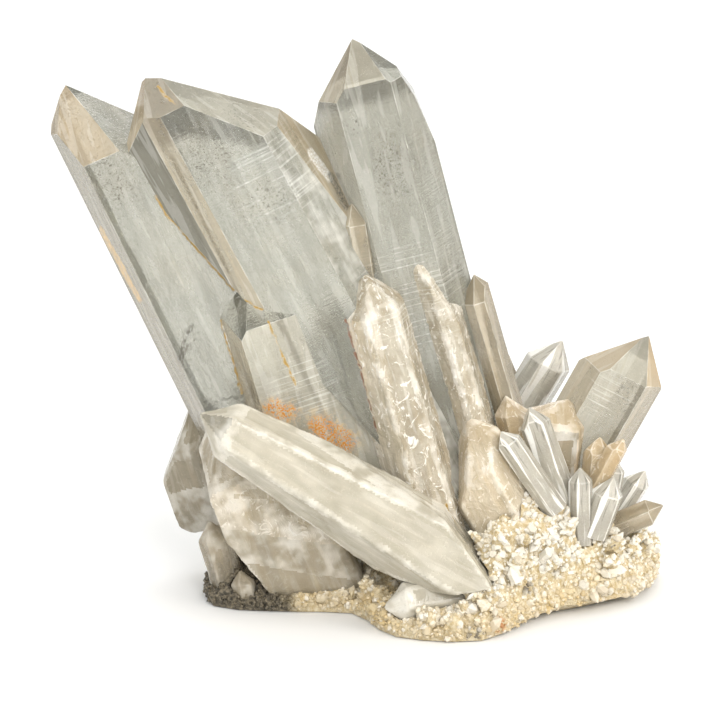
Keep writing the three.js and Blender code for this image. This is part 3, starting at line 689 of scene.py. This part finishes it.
# %% Paints
class Paint:
    def __init__(self, name, data=None):
        self.data = data or bpy.data.materials.new(name)
        self.data.use_nodes = True
        self.tree = self.data.node_tree
        self.tree.nodes.clear()

    def node(self, kind, settings=None, inputs=None, output=0):
        made = self.tree.nodes.new("ShaderNode" + kind)
        for key, value in (settings or {}).items():
            setattr(made, key, value)
        for key, value in (inputs or {}).items():
            if isinstance(value, Wire):
                self.tree.links.new(value.socket, made.inputs[key])
            else:
                made.inputs[key].default_value = value
        return Wire(self, made.outputs[output]) if made.outputs else made

    def place(self):
        return self.scaled(self.node("TexCoord", output=3), 1 / MM)

    def scaled(self, vector, by):
        return self.node("VectorMath", {"operation": "SCALE"}, {0: vector, "Scale": by})

    def stretched(self, vector, by):
        return self.node("Mapping", None, {"Vector": vector, "Scale": by})

    def vector(self, operation, first, second=None, output=0):
        inputs = {0: first} if second is None else {0: first, 1: second}
        return self.node("VectorMath", {"operation": operation}, inputs, output)

    def noise(self, vector, scale, detail=2, roughness=0.5, output=0):
        inputs = {"Vector": vector, "Scale": scale, "Detail": detail, "Roughness": roughness}
        return self.node("TexNoise", None, inputs, output)

    def step(self, value, low, high):
        inputs = {"Value": value, "From Min": low, "From Max": high}
        return self.node("MapRange", {"interpolation_type": "SMOOTHSTEP"}, inputs)

    def stored(self, name):
        return self.node("Attribute", {"attribute_name": name}, None, 2)

    def mix(self, factor, first, second):
        first = first if isinstance(first, Wire) else (*first, 1)
        second = second if isinstance(second, Wire) else (*second, 1)
        settings = {"data_type": "RGBA", "clamp_factor": True}
        return self.node("Mix", settings, {0: factor, 6: first, 7: second}, 2)

    def from_point(self, vector, point):
        return self.vector("DISTANCE", vector, point, 1)

    def from_line(self, vector, start, end):
        start, end = Vector(start), Vector(end)
        along = end - start
        offset = self.vector("SUBTRACT", vector, tuple(start))
        share = self.vector("DOT_PRODUCT", offset, tuple(along / along.length_squared), 1)
        share = share.math("ADD", share, 0.0, True)
        return self.vector("DISTANCE", offset, self.scaled(tuple(along), share), 1)

    def finish(self, surface, volume=None):
        sockets = {"Surface": surface}
        if volume:
            sockets["Volume"] = volume
        self.node("OutputMaterial", None, sockets)
        return self.data


print("paint tools ready")

# %% [markdown]
# ## Where the stains, painted reflections and painted highlights are
# Iron has left thin yellow and rusty lines where two crystals meet, two orange patches deep in the
# saddle, a golden one on the tall left crystal, and tiny dark specks. A few faces get painted white and
# painted dark reflections, as if light flashed from inside, and painted highlights lie along growth
# lines near a few places. They are flat colour, so each is painted by its distance in millimetres from
# a line or a point on the cluster, and a noise makes their edges wander.

# %% Stains and painted reflections
YELLOW_LINES = (
    ((-40.4, -5.2, 83.2), (-38.4, -5.2, 79.5), (-33.0, -5.4, 73.4), (-25.2, -5.7, 64.4)),
    ((-23.0, -9.7, 63.4), (-19.5, -10.7, 61.5)),
    ((-27.9, -5.2, 58.1), (-25.6, -5.1, 49.9), (-23.8, -5.0, 43.0)),
    ((-18.3, -12.3, 59.5), (-13.0, -12.3, 46.7)),
    ((16, -15, 24), (24.4, -23.9, 12.9)),
    ((-39.6, -7.1, 105.5), (-36.2, -10.6, 102.7)),
)
RUSTY_LINE = ((-3.0, -12.8, 60.0), (-0.2, -12.6, 49.7), (1.4, -12.4, 43.5), (3.0, -12.0, 37.3))
# Painted white and dark reflections, each a line and its reach in millimetres.
PAINTED_WHITE_REFLECTIONS = (
    ((-9.4, -3.6, 91.0), (-6.9, -2.6, 86.8), 2.2), ((-27.0, -5.2, 57.0), (-22.5, -5.0, 44.0), 0.7))
PAINTED_DARK_REFLECTIONS = (
    ((-5.7, -1.6, 86.0), (-3.6, -3.3, 81.3), 2.0), ((-3.4, -5.4, 99.6), (-2.6, -5.8, 96.2), 0.9))
ORANGE_PATCHES = (
    ((-18.0, -13.5, 42.3), (-14.1, -12.8, 41.3), 2.2), ((-8.1, -11.8, 38.1), (-3.2, -11.0, 34.6), 3.2))
GOLDEN_PATCHES = (((-51.3, 3.4, 73.4), (-45.0, 1.6, 61.5), 2.6),)
SPECK_CLOUDS = (
    ((-22.6, -9.8, 99.9), 9), ((-1.8, -7.1, 97.4), 4), ((6.7, -7.1, 90.0), 9), ((-49.4, -4.6, 86.4), 9),
    ((-28.5, -11.5, 91.9), 10), ((53.8, -3.6, 41.2), 7), ((-17.8, -12.3, 84.1), 9), ((-9, -18, 56), 5))
DARK_FEATHER = ((-37.8, -4.4, 45.8), (-34.0, -4.6, 55.5))
CRACKS = (((-30.5, -4.6, 41.0), (-24.6, -4.9, 42.2)), ((6.9, -7.1, 84.4), (16.7, -6.6, 85.2)))
# Places, each with a reach in millimetres, where painted highlights lie along the growth lines.
LINE_HIGHLIGHT_SPOTS = (((9.7, -7.1, 62.7), 16), ((-11.0, -12.0, 46.0), 9), ((-17, -12, 88), 14), ((50, -4, 42), 7))
print("stain lines:", len(YELLOW_LINES) + 1, "speck clouds:", len(SPECK_CLOUDS))

# %% [markdown]
# ## Clear quartz
# Clear quartz bends light with an index of 1.544 and takes a little of it away, more of the blue than
# of the yellow, which gives thick pieces their beige tone. Natural crystals are never glass-clear all
# over: veils, growth lines and etched faces scatter light. So a second, hazy shader is mixed in where
# the stored look or a pattern asks for it, and bumps follow the growth lines across the faces. Long
# bright and dark bands and streaks are painted refraction and painted reflection, which stand for the
# far faces that are seen through the near ones. The hazy colour also holds painted light, painted
# shade, painted glints and painted highlights along the growth lines.

# %% Relief of the crystals
QUARTZ_INDEX = 1.544


def quartz_relief(paint, spot, growth, crackle, side):
    lines = paint.noise(paint.stretched(growth, (0.05, 2.0, 1)), 1.0, 1, 0.6)
    fine = paint.noise(paint.stretched(growth, (0.2, 6, 1)), 1.0, 0)
    steps = paint.noise(paint.stretched(growth, (0.35, 0.1, 1)), 1.0, 0)
    pits = paint.step(paint.noise(spot, 2.2, 1, 0.6), 0.60, 0.70)
    warp = paint.vector("SUBTRACT", paint.noise(spot, 0.3, 0, 0.5, 1), (0.5, 0.5, 0.5))
    bent = paint.node("VectorMath", {"operation": "MULTIPLY_ADD"}, {0: warp, 1: (6, 6, 6), 2: growth})
    flakes = paint.noise(paint.stretched(bent, (0.9, 0.25, 1)), 1.0, 3, 0.7)
    height = side * (lines * 0.5 + fine * 0.25) + steps * 0.5 - pits * 0.5 + crackle * flakes * 7.0
    bump = paint.node("Bump", None, {"Strength": 0.4, "Distance": 0.00035, "Height": height})
    return bump, pits, lines, flakes


# %% Colour of the crystals
def nearest(distances):
    total = distances[0]
    for other in distances[1:]:
        total = total.least(other)
    return total


def near_lines(paint, spot, lines, thin, wide):
    pieces = [pair for points in lines for pair in zip(points, points[1:])]
    away = nearest([paint.from_line(spot, *pair) for pair in pieces])
    return 1 - paint.step(away, thin, wide)


def near_points(paint, spot, points):
    away = nearest([paint.from_point(spot, centre) * (1 / reach) for centre, reach in points])
    return 1 - paint.step(away, 0.3, 1)


def share_away(paint, spot, patches):
    return nearest([paint.from_line(spot, start, end) * (1 / reach) for start, end, reach in patches])


def iron_marks(paint, steady, loose, clumps, grainy, ferns):
    broken = paint.step(clumps, 0.36, 0.5)
    patchy = paint.step(clumps, 0.42, 0.6)
    yellow = near_lines(paint, steady, YELLOW_LINES, 0.1, 0.4)
    rust = near_lines(paint, steady, (RUSTY_LINE,), 0.1, 0.5) * (0.2 + broken * 0.8)
    away = share_away(paint, loose, ORANGE_PATCHES)
    spread = (1 - paint.step(away, 0.3, 1.7)) * patchy
    core = (1 - paint.step(away, 0.4, 1)) * grainy
    golden = 1 - paint.step(share_away(paint, loose, GOLDEN_PATCHES), 0.4, 1)
    golden = golden * (paint.step(ferns, 0.35, 0.6) * 0.6 + 0.35)
    return [
        (yellow * (0.25 + broken * 0.7), yellow, (0.40, 0.24, 0.03)),
        (rust * 0.9, rust, (0.20, 0.07, 0.03)),
        (spread * 0.7, spread * 0.6, (0.50, 0.31, 0.09)),
        (core * 0.95, core, (0.58, 0.20, 0.0)),
        (golden, golden, (0.68, 0.44, 0.16))]


def dark_marks(paint, spot, loose, clumps, fine_clumps, ferns):
    specks = paint.step(fine_clumps, 0.57, 0.63).most(paint.step(clumps, 0.62, 0.68) * 0.7)
    specks = specks * (0.12 + near_points(paint, spot, SPECK_CLOUDS) * 0.88)
    feather = 1 - paint.step(paint.from_line(loose, *DARK_FEATHER), 0.5, 1.9)
    dark = specks.most(feather * paint.step(ferns, 0.46, 0.56))
    return [(dark * 0.8, dark, (0.07, 0.06, 0.045))]


# Painted white and dark reflections seen inside a few faces.
def painted_reflection_marks(paint, steady, grainy):
    marks = []
    for reflection_places, colour in ((PAINTED_WHITE_REFLECTIONS, (0.98, 0.985, 0.97)), (PAINTED_DARK_REFLECTIONS, (0.11, 0.11, 0.095))):
        reflection_mask = 1 - paint.step(share_away(paint, steady, reflection_places), 0.6, 1)
        reflection_mask = reflection_mask * (0.3 + grainy * 0.55)
        marks.append((reflection_mask, reflection_mask, colour))
    return marks


def quartz_stains_and_reflections(paint, spot, tone):
    wander = paint.vector("SUBTRACT", paint.noise(spot, 0.5, 1, 0.6, 1), (0.5, 0.5, 0.5))
    loose = paint.vector("ADD", spot, paint.scaled(wander, 2.4))
    steady = paint.vector("ADD", spot, wander)
    clumps = paint.noise(spot, 0.9, 3, 0.75)
    fine_clumps = paint.noise(spot, 2.5, 2, 0.72)
    grainy = paint.step(fine_clumps, 0.46, 0.56)
    ferns = paint.noise(paint.stretched(spot, (1.5, 1, 0.5)), 1.0, 3, 0.7)
    marks = iron_marks(paint, steady, loose, clumps, grainy, ferns)
    marks += dark_marks(paint, spot, loose, clumps, fine_clumps, ferns)
    marks += painted_reflection_marks(paint, steady, grainy)
    crack = near_lines(paint, loose, CRACKS, 0.06, 0.26)
    marks.append((crack * 0.75, crack, (0.10, 0.10, 0.085)))
    total = marks[0][1]
    for share, haze, colour in marks:
        tone = paint.mix(share, tone, colour)
        total = total.most(haze)
    return tone, total


# %% Clear quartz finish
COOL_GLASS, WARM_GLASS = (0.35, 0.38, 0.345), (0.72, 0.49, 0.22)
COOL_TINT, WARM_TINT, SMOKE_AND_SHADE_TINT = (0.985, 0.99, 0.97), (0.93, 0.77, 0.53), (0.50, 0.48, 0.40)
CLOUDY, SMOKE_AND_PAINTED_SHADE, LIT = (0.68, 0.59, 0.43), (0.14, 0.13, 0.09), (0.95, 0.92, 0.85)
PAINTED_BRIGHT_REFRACTION, PAINTED_DARK_REFRACTION = (0.80, 0.79, 0.71), (0.22, 0.20, 0.15)
THIN_MILK, THICK_MILK = (0.63, 0.57, 0.44), (0.85, 0.81, 0.71)
CRACKLE_CREAM, GLINT, WORN_EDGE = (0.92, 0.85, 0.72), (0.97, 0.94, 0.88), (0.95, 0.94, 0.90)
PAINTED_BRIGHT_REFLECTION, PAINTED_DARK_REFLECTION, PAINTED_LINE_HIGHLIGHT = (0.98, 0.97, 0.93), (0.16, 0.155, 0.13), (0.88, 0.90, 0.88)
ABSORBING, DENSITY = (0.80, 0.805, 0.75, 1), 75


def quartz_finish():
    paint = Paint("clear_quartz")
    spot = paint.place()
    milk, warm, crackle = paint.stored("milk"), paint.stored("warm"), paint.stored("crackle")
    # The dim value is partly a crystal's smoky tone and partly painted shade on single faces.
    worn, side, dim_and_shade = paint.stored("worn"), paint.stored("side"), paint.stored("dim_and_shade")
    # How much painted light and painted reflection lies on a crystal.
    painted_light = paint.stored("painted_light")
    growth = paint.node("UVMap", {"uv_map": "growth"})
    down = paint.node("SeparateXYZ", None, {0: growth}, 1)
    bump, pits, lines, flakes = quartz_relief(paint, spot, growth, crackle, side)
    cloud = paint.noise(spot, 0.09, 1, 0.6)
    swirl = paint.noise(spot, 0.2, 2, 0.6)
    wisps = paint.noise(paint.stretched(growth, (0.16, 0.07, 1)), 1.0, 2, 0.55)
    threads = paint.noise(paint.stretched(growth, (0.35, 0.035, 1)), 1.0, 2, 0.65)
    # Painted highlights along the growth lines on the sides, near a few places.
    painted_line_highlights = near_points(paint, spot, LINE_HIGHLIGHT_SPOTS) * side * paint.step(lines, 0.5, 0.68)
    patchy = paint.step(swirl, 0.35, 0.68)
    milky = paint.step(wisps, 0.25, 0.75)
    glints = crackle * paint.step(flakes, 0.57, 0.64)
    # Painted reflections: white and dark lines along the length of crystals that get painted light.
    reflection_streaks = paint.noise(paint.stretched(growth, (0.55, 0.06, 1)), 1.0, 2, 0.55)
    painted_bright_reflections = painted_light * paint.step(reflection_streaks, 0.52, 0.58)
    painted_dark_reflections = painted_light * paint.step(reflection_streaks, 0.41, 0.37)
    # Painted refraction: light and dark bands on the sides stand for far faces seen through the near ones.
    seen_through_faces = paint.noise(paint.stretched(growth, (0.14, 0.014, 1)), 1.0, 1, 0.4)
    painted_bright_refraction = paint.step(seen_through_faces, 0.52, 0.545) * side * (1 - warm * 0.7) * (1 - dim_and_shade)
    painted_dark_refraction = paint.step(seen_through_faces, 0.44, 0.415) * side
    paler = paint.step(warm, 0.7, 0.85) * paint.step(down, 13, 28)
    warmth = warm * (1 - paler * 0.5)
    tone = paint.mix(warmth, COOL_GLASS, WARM_GLASS)
    # The hazy colour mixes the crystal's real cloud, milk, crackle and worn edges with painted shade,
    # painted light, painted refraction bands, painted glints, painted reflections and painted highlights
    # along the growth lines.
    for share, colour in (
        (paint.step(cloud, 0.4, 0.7) * 0.3, CLOUDY),
        (dim_and_shade * 0.75, SMOKE_AND_PAINTED_SHADE),
        (painted_light * painted_light * 0.85, LIT),
        (painted_bright_refraction * 0.3, PAINTED_BRIGHT_REFRACTION),
        (painted_dark_refraction * 0.3, PAINTED_DARK_REFRACTION),
        (milk * 0.9, THIN_MILK),
        (milk * milky * 0.45, THICK_MILK),
        (crackle * patchy * 0.4, CRACKLE_CREAM),
        (glints * 0.8, GLINT),
        (painted_bright_reflections * 0.8, PAINTED_BRIGHT_REFLECTION),
        (painted_dark_reflections * 0.75, PAINTED_DARK_REFLECTION),
        (painted_line_highlights * 0.3, PAINTED_LINE_HIGHLIGHT),
        (worn * patchy * 0.4, WORN_EDGE),
    ):
        tone = paint.mix(share, tone, colour)
    # Real iron stains, specks and cracks, and painted reflections; where they lie the hazy shader takes
    # over.
    tone, stained = quartz_stains_and_reflections(paint, spot, tone)
    haze = 0.25 + milk * (0.42 + milky * 0.14) + warm * 0.3 + dim_and_shade * 0.35 + worn * patchy * 0.25
    haze = haze + crackle * 0.08 + glints * 0.4 + (patchy - 0.5) * 0.08
    haze = haze + paint.step(threads, 0.52, 0.75) * 0.18
    haze = haze + pits * 0.06 + stained * 0.8 + painted_line_highlights * 0.25
    haze = haze + painted_bright_reflections * 0.35 + painted_dark_reflections * 0.25
    tint = paint.mix(warmth, COOL_TINT, WARM_TINT)
    # Smoke and painted shade also darken the glass tint.
    tint = paint.mix(dim_and_shade * 0.7, tint, SMOKE_AND_SHADE_TINT)
    glass = paint.node("BsdfPrincipled", None, {
        "Base Color": tint, "Roughness": 0.02, "IOR": QUARTZ_INDEX,
        "Transmission Weight": 1.0, "Normal": bump})
    hazy = paint.node("BsdfPrincipled", None, {
        "Base Color": tone, "Roughness": 0.08 + warm * 0.15, "IOR": QUARTZ_INDEX, "Normal": bump})
    body = paint.node("MixShader", None, {0: haze.least(0.97), 1: glass, 2: hazy})
    depth = paint.node("VolumeAbsorption", None, {"Color": ABSORBING, "Density": DENSITY})
    return paint.finish(body, depth)


cluster.data.materials.clear()
cluster.data.materials.append(quartz_finish())
print("crystals finished, nodes:", len(cluster.data.materials[0].node_tree.nodes))

# %% [markdown]
# ## The veils' finish
# A veil shows only as a faint wisp. Its sheet is transparent, and white is mixed in where a noise says
# that bubbles are. It fades out well before its edge, so that the square sheet itself is never seen.

# %% Veil finish
def veil_finish():
    paint = Paint("veil")
    spot = paint.place()
    flat = paint.node("UVMap", {"uv_map": "UVMap"})
    away = paint.vector("DISTANCE", flat, (0.5, 0.5, 0), 1)
    fade = 1 - paint.step(away, 0.2, 0.5)
    wisps = paint.noise(paint.stretched(flat, (5, 1.6, 1)), 1.0, 2, 0.75)
    bubbles = paint.noise(spot, 3.0, 0)
    thick = fade * paint.step(wisps, 0.46, 0.68) * (0.25 + paint.step(bubbles, 0.4, 0.65) * 0.6)
    clear = paint.node("BsdfTransparent", None, {"Color": (1, 1, 1, 1)})
    milk = paint.node("BsdfPrincipled", None, {"Base Color": (0.93, 0.92, 0.88, 1), "Roughness": 0.4})
    return paint.finish(paint.node("MixShader", None, {0: thick, 1: clear, 2: milk}))


inner_veils.data.materials.append(veil_finish())
print("veils finished, nodes:", len(inner_veils.data.materials[0].node_tree.nodes))

# %% [markdown]
# ## The crust's finish
# The small points are clear quartz too, but light hardly gets through so many of them, and iron has
# stained the gaps between them yellow. The body below is cream, and dark grey-brown rock at the left.

# %% Crust finish
# Dark bits on the crust, and painted shade in a hole in it, each with a reach in millimetres.
DARK_BITS_AND_HOLE_SHADE = (((32.8, -21.7, 7.6), 2.0), ((50.7, -12.6, 13.6), 1.4), ((22.3, -32.0, 1.5), 2.6))
RUSTY_SPOTS = (((27.3, -29.2, 2.4), 2.2), ((36.0, -24.0, 5.0), 1.5))


def druse_finish(name, pale, stained, clearness):
    paint = Paint(name)
    spot = paint.place()
    grain_tone_and_glint = paint.stored("grain_tone_and_glint")
    stain = paint.step(paint.noise(spot, 0.14, 4, 0.65), 0.45, 0.62)
    across = paint.node("SeparateXYZ", None, {0: spot}, 0)
    height = paint.node("SeparateXYZ", None, {0: spot}, 2)
    tone = paint.mix(stain * 0.75, pale, stained)
    # Darker brown towards the bottom, paler higher up and paler towards the far right.
    tone = paint.mix(paint.step(height, 8, 1.5) * 0.6, tone, (0.62, 0.46, 0.21))
    tone = paint.mix(paint.step(height, 5, 12) * 0.65, tone, (0.93, 0.89, 0.79))
    tone = paint.mix(paint.step(across, 50, 60) * 0.4, tone, (0.94, 0.91, 0.83))
    # Random per grain: the highest values paint a grain white as a glint, the lowest make it darker brown.
    tone = paint.mix(paint.step(grain_tone_and_glint, 0.6, 1) * 0.6, tone, (0.95, 0.92, 0.85))
    tone = paint.mix(paint.step(grain_tone_and_glint, 0.25, 0) * 0.5, tone, (0.50, 0.37, 0.19))
    tone = paint.mix(near_points(paint, spot, RUSTY_SPOTS) * 0.85, tone, (0.50, 0.19, 0.04))
    # Dark bits, and painted shade in one hole.
    tone = paint.mix(near_points(paint, spot, DARK_BITS_AND_HOLE_SHADE) * 0.85, tone, (0.13, 0.11, 0.08))
    grain = paint.noise(spot, 2.5, 2, 0.5)
    bump = paint.node("Bump", None, {"Strength": 0.3, "Distance": 0.0002, "Height": grain})
    solid = paint.node("BsdfPrincipled", None, {
        "Base Color": tone, "Roughness": 0.08, "IOR": QUARTZ_INDEX,
        "Transmission Weight": clearness, "Normal": bump})
    return paint.finish(solid)


def rock_finish(name, gloss):
    paint = Paint(name)
    spot = paint.place()
    parts = paint.node("SeparateXYZ", None, {0: spot})
    wander = paint.noise(spot, 0.3, 3, 0.6)
    left = 1 - paint.step(parts + wander * 8, -13, -6)
    grain = paint.noise(spot, 1.3, 5, 0.7)
    dark = paint.mix(paint.step(grain, 0.35, 0.7), (0.035, 0.03, 0.02), (0.30, 0.25, 0.17))
    cream = paint.mix(paint.step(grain, 0.35, 0.7), (0.56, 0.43, 0.22), (0.84, 0.75, 0.56))
    tone = paint.mix(left, cream, dark)
    bump = paint.node("Bump", None, {"Strength": 0.8, "Distance": 0.0005, "Height": grain})
    solid = paint.node("BsdfPrincipled", None, {"Base Color": tone, "Roughness": gloss, "Normal": bump})
    return paint.finish(solid)


sugar_finish = druse_finish("druse_sugar", (0.87, 0.80, 0.65), (0.74, 0.56, 0.27), 0.0)
for piece, finish in (
    (sugar, sugar_finish),
    (rim_sugar, sugar_finish),
    (small_points, druse_finish("druse_points", (0.90, 0.84, 0.71), (0.80, 0.65, 0.38), 0.1)),
    (clear_points, druse_finish("druse_clear", (0.95, 0.91, 0.82), (0.90, 0.81, 0.62), 0.1)),
    (rock_crumbs, rock_finish("rock_crumbs", 0.25)),
    (crust_body, rock_finish("rock", 0.55)),
):
    piece.data.materials.clear()
    piece.data.materials.append(finish)
print("crust finished")

# %% [markdown]
# ## Floor and light
# The floor is wide, pale and plain. Three soft lights stand in front, to the left, the middle and the
# right, and a wide one behind. The sky is brightest behind the cluster and dark beside it, so that the
# clear faces have something light and something dark to bend.

# %% Floor
bpy.ops.mesh.primitive_circle_add(vertices=64, radius=4, fill_type="NGON", location=(0, 0, -0.0002))
floor = bpy.context.object
floor.name = "floor"
floor_paint = Paint("pale_floor")
floor.data.materials.append(floor_paint.finish(floor_paint.node(
    "BsdfPrincipled", None, {"Base Color": (0.95, 0.95, 0.95, 1), "Roughness": 0.9})))
print("floor, m:", [round(v, 2) for v in floor.dimensions])

# %% Lights
def soft_light(name, place, size, power, colour=(1, 1, 1)):
    bpy.ops.object.light_add(type="AREA", location=place)
    light = bpy.context.object
    light.name = name
    light.data.size = size
    light.data.energy = power
    light.data.color = colour
    light.rotation_euler = (AIM - Vector(place)).to_track_quat("-Z", "Y").to_euler()


soft_light("window_left", (-0.8, -0.7, 0.9), 0.7, 4)
soft_light("window_right", (0.9, -0.5, 0.6), 0.6, 5.5, (1, 0.95, 0.88))
soft_light("window_front", (0.3, -1.1, 0.7), 0.5, 6)
soft_light("window_behind", (0, 1.3, 1.2), 1.2, 9)
print("lights:", len(bpy.data.lights))

# %% Sky
world = bpy.data.worlds.new("studio")
bpy.context.scene.world = world
sky = Paint("studio", world)
direction = sky.node("TexCoord", output=0)
across, deep, upward = (sky.node("SeparateXYZ", None, {0: direction}, i) for i in range(3))
behind = sky.step(deep, -0.2, 0.7)
high_up = sky.step(upward, 0.15, 0.9)
tone = sky.mix(behind, (0.66, 0.64, 0.60), (1.05, 1.05, 1.03))
tone = sky.mix(high_up * 0.7, tone, (0.80, 0.81, 0.80))
beside = sky.step(across.math("ABSOLUTE", across, 0), 0.72, 0.9)
tone = sky.mix(beside * (1 - high_up) * 0.85, tone, (0.12, 0.12, 0.11))
sky.node("OutputWorld", None, {"Surface": sky.node("Background", None, {"Color": tone, "Strength": 1.0})})

bpy.context.scene.view_settings.view_transform = "Standard"
light_paths = bpy.context.scene.cycles
light_paths.max_bounces = 7
light_paths.diffuse_bounces = 2
light_paths.transmission_bounces = 7
light_paths.light_sampling_threshold = 0.03
print("lit")

# %% [markdown]
# ## Handing over
# Each piece rides on the frame's one body and hides the frame's node that it replaces. Last, the
# frame's size is printed.

# %% Tie the pieces to the frame
for piece, node, slot in (
    (cluster, "crystals", "clear_quartz"),
    (inner_veils, "crystals", "clear_quartz"),
    (crust_body, "druse_base", "druse"),
    (sugar, "druse_base", "druse"),
    (rim_sugar, "druse_base", "druse"),
    (small_points, "druse_base", "druse"),
    (clear_points, "druse_base", "druse"),
    (rock_crumbs, "druse_base", "druse"),
):
    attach(piece, "root")
    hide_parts(node)
    print(piece.name, "rides on root and stands for", node)

# %% Size
print("frame, mm:", [[round(v / MM, 2) for v in corner] for corner in (cad_low, cad_high)])
